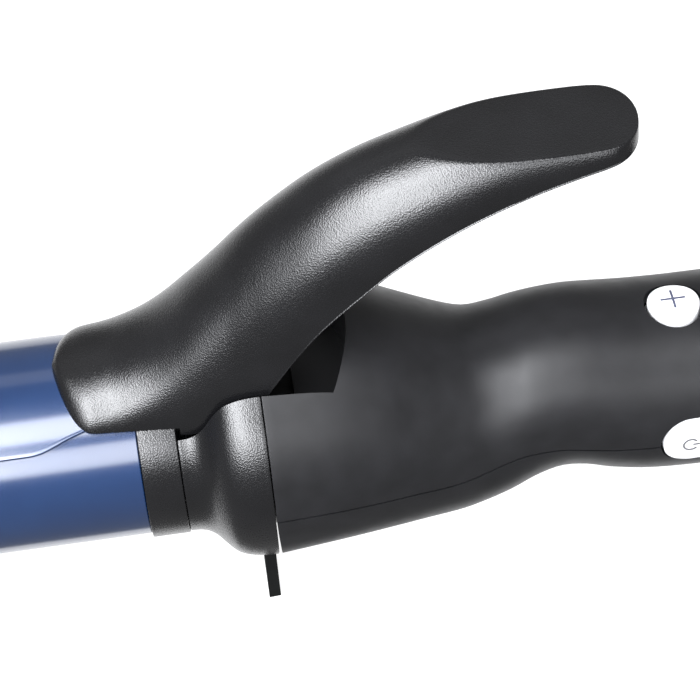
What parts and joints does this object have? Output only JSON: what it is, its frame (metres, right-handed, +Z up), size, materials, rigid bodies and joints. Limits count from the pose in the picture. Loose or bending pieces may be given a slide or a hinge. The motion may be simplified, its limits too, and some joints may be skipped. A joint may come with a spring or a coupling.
{
  "type": "curling wand",
  "caption": "Spring-clip curling wand with a thumb lever, folding stand, contoured handle with push keys, and a swivel cord gland.",
  "frame": {"origin": "centre of the stand foot's bottom face, on the surface that the wand rests on", "axes": "+X along the wand from the barrel to the handle, level with the ground; +Y to the far side of the wand; +Z up, towards the clip and the thumb lever. The wand's own axis dips 4.4 degrees towards the handle, as it lies on its stand and its tail."},
  "size_m": [0.3522, 0.044, 0.0799],
  "materials": {
    "blue_metal": "deep metallic blue, high gloss",
    "black_grain": "black, fine moulded grain, satin",
    "black_soft": "black soft-touch, matt",
    "black_plain": "black heat-resistant moulding",
    "white_key": "white, smooth",
    "steel": "plain",
    "aluminium": "extruded",
    "ceramic": "ceramic, off-white",
    "board": "green laminate",
    "smoked": "smoked clear",
    "sleeve": "woven glass sleeve",
    "wire_coat": "heat-resistant wire coat",
    "brass": "plain"
  },
  "bodies": {
    "wand": {"barrel_tube": "blue_metal", "cool_tip": "black_grain", "heat_ring": "black_plain", "barrel_bush": "black_plain", "heater_plate": "ceramic", "heat_spreader_upper": "aluminium", "heat_spreader_lower": "aluminium", "temperature_sensor": "brass", "thermal_fuse": "steel", "insulating_sleeve": "sleeve", "heater_lead_live": "wire_coat", "heater_lead_neutral": "wire_coat", "front_cone": "black_grain", "stand_pin": "steel", "handle_upper": "black_soft", "handle_lower": "black_soft", "handle_screw_front": "steel", "handle_screw_rear": "steel", "tail_cap": "black_soft", "swivel_contacts": "white_key", "display_window": "smoked", "control_board": "board", "display_module": "wire_coat", "plus_switch": "steel", "minus_switch": "steel", "power_switch": "steel", "lever_pin": "steel", "lever_spring": "steel"},
    "clip_lever": {"thumb_lever": "black_grain", "clip_blade": "blue_metal", "clip_rivet_near": "steel", "clip_rivet_far": "steel"},
    "stand": {"stand_plate": "black_plain"},
    "plus_key": {"plus_button": "white_key"},
    "minus_key": {"minus_button": "white_key"},
    "power_key": {"power_button": "white_key"},
    "cord_swivel": {"swivel_gland": "black_plain"}
  },
  "joints": [
    {"name": "clip_hinge", "type": "hinge", "parent": "wand", "child": "clip_lever", "pos_m": [-0.00148, 0, 0.04033], "axis": [0, 1, 0], "range_deg": [0, 26], "stiffness_Nm_per_rad": 0.5, "springref_deg": -25.78, "deforming": ["lever_spring"]},
    {"name": "stand_hinge", "type": "hinge", "parent": "wand", "child": "stand", "pos_m": [0.00078, 0, 0.01017], "axis": [0, 1, 0], "range_deg": [0, 86]},
    {"name": "plus_press", "type": "slide", "parent": "wand", "child": "plus_key", "axis": [-0.0761, 0, -0.9971], "range_m": [0, 0.0008], "stiffness_N_per_m": 800, "springref_m": -0.0008},
    {"name": "minus_press", "type": "slide", "parent": "wand", "child": "minus_key", "axis": [-0.0761, 0, -0.9971], "range_m": [0, 0.0008], "stiffness_N_per_m": 800, "springref_m": -0.0008},
    {"name": "power_press", "type": "slide", "parent": "wand", "child": "power_key", "axis": [0, 1, 0], "range_m": [0, 0.0008], "stiffness_N_per_m": 800, "springref_m": -0.0008},
    {"name": "cord_swivel_turn", "type": "hinge", "parent": "wand", "child": "cord_swivel", "pos_m": [0.15802, 0, 0.01462], "axis": [0.9971, 0, -0.0761], "continuous": true}
  ]
}
